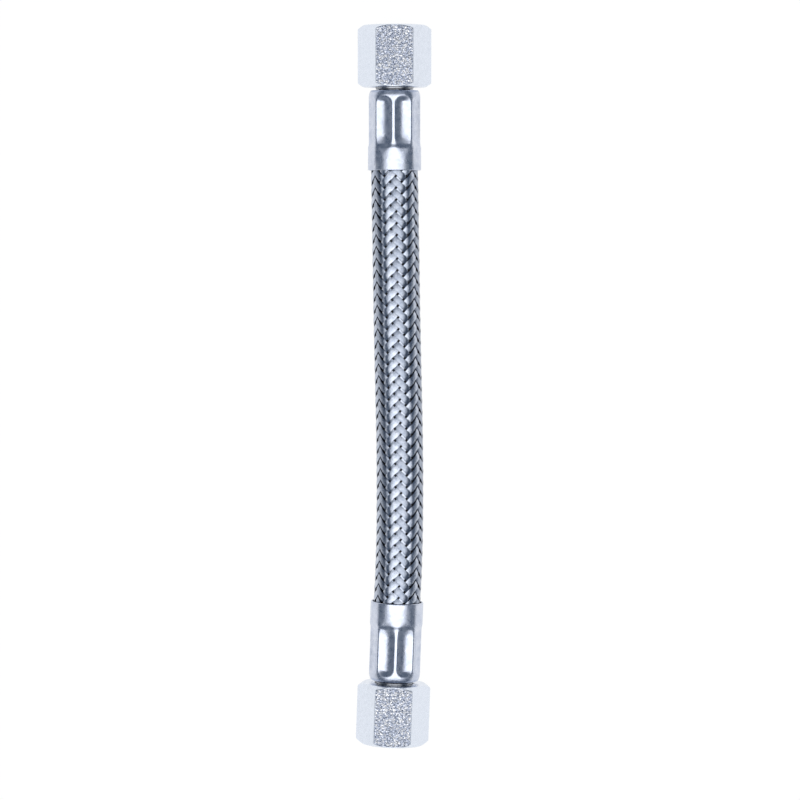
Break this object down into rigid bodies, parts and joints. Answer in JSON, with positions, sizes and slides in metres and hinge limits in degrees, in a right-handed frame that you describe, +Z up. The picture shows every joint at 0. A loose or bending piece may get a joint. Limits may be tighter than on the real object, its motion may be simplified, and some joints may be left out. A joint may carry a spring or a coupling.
{
  "type": "braided connection hose",
  "caption": "Short flexible water hose of rubber in a woven steel braid, with a crimped ferrule and a loose hexagonal union nut at each end.",
  "frame": {"origin": "on the surface that the hose lies on, under the middle of its whole box", "axes": "+Y along the hose from the near fitting to the far fitting, +Z up, +X to the right, the side that the hose bows to"},
  "size_m": [0.0226, 0.215, 0.019],
  "materials": {
    "union_nut": "dull bright plating over a fine-grained forging",
    "nipple": "turned and plated",
    "ferrule": "bright drawn stainless steel",
    "braid": "fine bright wires woven in flat strands",
    "hose": "matt black",
    "gasket": "matt dark grey"
  },
  "bodies": {
    "hose": {"rubber_hose": "hose", "braid_sleeve": "braid", "ferrule_far": "ferrule", "ferrule_near": "ferrule", "nipple_far": "nipple", "nipple_near": "nipple"},
    "seal_far": {"gasket_far": "gasket"},
    "nut_far": {"union_nut_far": "union_nut"},
    "seal_near": {"gasket_near": "gasket"},
    "nut_near": {"union_nut_near": "union_nut"}
  },
  "joints": [
    {"name": "nut_far_spin", "type": "hinge", "parent": "hose", "child": "seal_far", "pos_m": [0.00037, 0.09835, 0.0095], "axis": [0, 1, 0], "continuous": true},
    {"name": "nut_far_play", "type": "slide", "parent": "seal_far", "child": "nut_far", "axis": [0, -1, 0], "range_m": [0, 0.0006]},
    {"name": "nut_near_spin", "type": "hinge", "parent": "hose", "child": "seal_near", "pos_m": [-0.0001, -0.09803, 0.0095], "axis": [-0.0358, -0.9994, 0], "continuous": true},
    {"name": "nut_near_play", "type": "slide", "parent": "seal_near", "child": "nut_near", "axis": [0.0358, 0.9994, 0], "range_m": [0, 0.0006]}
  ]
}
